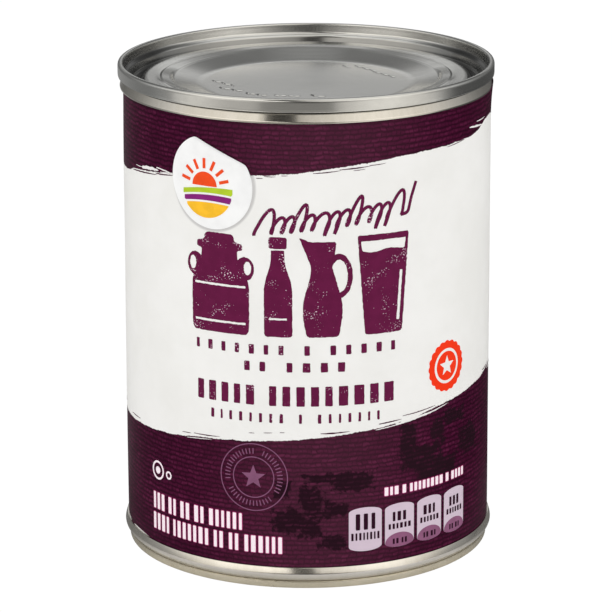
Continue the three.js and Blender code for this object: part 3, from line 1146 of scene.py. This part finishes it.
def make_print():
    rng = random.Random(12)
    purple = ink("ink_purple", srgb(101, 27, 66), srgb(226, 202, 214), 1.0)
    white = ink("ink_white", srgb(252, 238, 244), srgb(244, 214, 230), 0.3, 0.0)
    halo = ink("ink_halo", srgb(176, 58, 116), srgb(120, 40, 84), 0.3, 0.1)
    mauve = ink("ink_mauve", srgb(146, 94, 126), srgb(110, 60, 92), 0.6)
    stamp_ink = ink("ink_stamp", srgb(134, 86, 116), srgb(100, 54, 84), 0.6)
    lilac = ink("ink_lilac", srgb(212, 194, 208), srgb(222, 208, 220), 0.3, 0.05)
    dark = ink("ink_dark", srgb(46, 16, 34), srgb(80, 50, 68), 0.3)
    red = ink("ink_red", srgb(246, 56, 22), srgb(252, 120, 80), 0.25, 0.08)

    row_low, row_high = 51.15, 70.9
    for name, figure, x in (("print_churn", churn, -17.5), ("print_bottle", bottle, -5.6),
                            ("print_jug", jug, 3.0), ("print_glass", glass, 15.2)):
        printed(name, [roughened(figure(x, row_low, row_high), rng)], purple)
    printed("print_flourish", [stroke(flourish(-11.0, 22.6, 74.6), 0.66)], purple)

    lines = bars(-22.8, 17.6, 47.55, 49.45, (7, 1, 5), 2.0, 4.0, rng)
    lines += bars(-12.4, 7.3, 44.15, 46.05, (2, 4), 2.0, 4.2, rng)
    lines += bars(-22.6, 17.3, 37.3, 41.25, (5, 9), 1.2, 3.0, rng)
    lines += bars(-19.6, 14.3, 33.85, 35.7, (8, 1, 7), 1.45, 3.1, rng)
    printed("print_lines", [roughened(shape, rng, 0.035, 0.6) for shape in lines], purple)

    net = bars(-36.2, -13.2, 11.45, 14.85, (3, 2, 2, 2, 6), 0.62, 1.35, rng, 0.15)
    net += bars(-36.3, -5.1, 7.15, 10.55, (4, 7, 2, 2, 6), 0.62, 1.35, rng, 0.15)
    net += bars(15.4, 36.5, 18.0, 19.7, (3, 1, 8, 1, 4), 0.42, 0.95, rng, 0.12)
    printed("print_halo", [grown(shape, 0.14) for shape in net], halo)
    net.append(ring(-34.5, 19.6, 1.95, 1.55))
    net.append(([ellipse(-34.5, 19.6, 0.75, 0.75)], []))
    net.append(ring(-31.0, 19.35, 0.85, 0.5))
    printed("print_white", net, white, OVERPRINT_LIFT)

    stamp_x, stamp_y = -10.75, 22.55
    marks = [ring(stamp_x, stamp_y, 6.9, 6.7, 96), ring(stamp_x, stamp_y, 4.22, 4.02, 72)]
    ticks = 48
    for k in range(ticks):
        if k % 16 < 14:
            angle = 2 * math.pi * k / ticks + math.pi / 2
            marks.append(stroke([out_from(stamp_x, stamp_y, r, angle) for r in (4.85, 5.85)], 0.21))
    marks.append(([star(stamp_x, stamp_y, 2.5, 1.05)], []))
    printed("print_stamp", marks, stamp_ink)

    seal_x, seal_y = 30.8, 41.8
    printed("print_seal", [([scallop(seal_x, seal_y, 5.2, 0.35, 20)], [ellipse(seal_x, seal_y, 3.55, 3.55)]),
                           ([ellipse(seal_x, seal_y, 2.95, 2.95)], [star(seal_x, seal_y, 2.2, 0.95)])], red)

    tablets = [(8.0, 14.8, 7.2, 16.2), (15.5, 22.1, 7.1, 16.1), (22.9, 29.3, 7.0, 16.1),
               (30.15, 36.7, 6.9, 16.1)]
    bodies = []
    words = []
    lenses = []
    for at, (left, right, bottom, top) in enumerate(tablets):
        middle = (left + right) / 2
        wide = right - left
        bodies.append(([tablet(left, bottom, right, top, 1.0)], []))
        if at == 0:
            words += bars(middle - 2.0, middle + 2.0, 11.6, 14.9, (3,), 0.75, 0, rng)
            words += bars(left + 0.5, right - 0.5, 9.5, 11.0, (8,), 0.4, 0, rng, 0.08)
            continue
        words += bars(middle - 1.6, middle + 1.4, 12.5, 14.4, (3,), 0.5, 0, rng, 0.12)
        words += bars(left + 0.8, right - 0.8, 10.9, 12.0, (6,), 0.4, 0, rng, 0.08)
        lens = ellipse(middle, bottom + 0.95, wide / 2 - 0.05, 2.0, 0, 180, 20)
        lens += ellipse(middle, bottom + 0.95, wide / 2 - 0.05, 0.93, 180, 360, 20)
        lenses.append(([lens], []))
        words += bars(middle - 1.6, middle + 1.6, bottom + 0.7, bottom + 1.8, (2, 2), 0.35, 0.7, rng, 0.06)
    printed("print_tablets", bodies, lilac)
    printed("print_lenses", lenses, mauve, OVERPRINT_LIFT)
    printed("print_words", words, dark, TOP_PRINT_LIFT)


def make_back_print():
    """Back of the label: a ruled panel of short bars on one side and lines of bars on the other."""
    rng = random.Random(31)
    purple = ink("ink_purple_back", srgb(104, 28, 68), srgb(214, 186, 204), 0.6)
    left, right, bottom, top = 64.0, 98.0, 40.0, 80.0

    def border(inset):
        return [(left + inset, bottom + inset), (right - inset, bottom + inset),
                (right - inset, top - inset), (left + inset, top - inset)]

    shapes = [([border(0)], [border(0.35)])]
    shapes += bars(left + 1.5, right - 8.0, top - 4.6, top - 1.8, (9, 5), 0.4, 1.2, rng)
    for k in range(11):
        y = top - 8.0 - 3.05 * k
        shapes += bars(left + 1.5, left + 1.5 + rng.uniform(12, 20), y, y + 1.2, (5, 4), 0.35, 1.0, rng, 0.1)
        shapes += bars(right - 4.5, right - 1.5, y, y + 1.2, (2,), 0.4, 0, rng, 0.1)
        shapes.append(block(left + 1.2, y - 0.95, right - 1.2, y - 0.8, 0.02))
    for k in range(9):
        y = 76.0 - 3.3 * k
        start = -100.0
        length = 36.0 if k % 4 != 3 else 22.0
        shapes += bars(start, start + length, y, y + 1.4, (6, 3, 7, 4), 0.35, 1.1, rng, 0.1)
    printed("print_back", shapes, purple)


def emblem_field(x, y, radius, low, high):
    """A strip of the round emblem between two gently curved lines, (level, slope, bow) each."""
    def level(line, u):
        base, slope, bow = line
        return base + slope * u + bow * (1 - u * u)
    upper = []
    lower = []
    steps = 40
    for k in range(steps + 1):
        u = -0.995 + 1.99 * k / steps
        edge = radius * math.sqrt(1 - u * u)
        top, foot = min(level(high, u), edge), max(level(low, u), -edge)
        if top - foot > 0.04:
            upper.append((x + radius * u, y + top))
            lower.append((x + radius * u, y + foot))
    return ([lower + upper[::-1]], [])


def make_sticker():
    """The round paper sticker with its emblem, a sun over three fields."""
    round_paper = ([sticker_outline()], [])
    printed("sticker", [round_paper], sticker_paper(), STICKER_LIFT, sticker_lift, STICKER_DEPTH)
    orange = ink("sticker_orange", srgb(243, 80, 36), srgb(250, 130, 90), 0.2)
    yellow = ink("sticker_yellow", srgb(254, 194, 50), srgb(255, 214, 110), 0.2)
    green = ink("sticker_green", srgb(180, 206, 52), srgb(200, 220, 100), 0.2)
    violet = ink("sticker_violet", srgb(136, 40, 122), srgb(160, 90, 150), 0.2)
    x, y, radius = -20.1, 79.3, 5.7
    sun_x, sun_y = x - 0.4, y + 0.55
    sun = [([ellipse(sun_x, sun_y, 2.75, 2.75, 0, 180, 30)], [])]
    for k in range(7):
        angle = math.radians(15 + 25 * k)
        sun.append(stroke([out_from(sun_x, sun_y, r, angle) for r in (3.55, 5.3)], 0.62))
    printed("emblem_sun", sun, orange, EMBLEM_LIFT, sticker_lift)
    for name, low, high, colour in (("emblem_hill", (-1.25, 0.25, 0.5), (-0.1, 0.45, 0.35), green),
                                    ("emblem_furrow", (-2.75, 0.1, 0.5), (-1.65, 0.25, 0.5), violet),
                                    ("emblem_field", (-9.0, 0.0, 0.0), (-3.15, 0.1, 0.5), yellow)):
        printed(name, [emblem_field(x, y, radius, low, high)], colour, EMBLEM_LIFT, sticker_lift)


make_camera()
make_light()
make_floor()
make_metal()
make_label()
make_streaks()
make_print()
make_back_print()
make_sticker()

bpy.context.scene.view_settings.view_transform = "Standard"

bpy.context.view_layer.update()
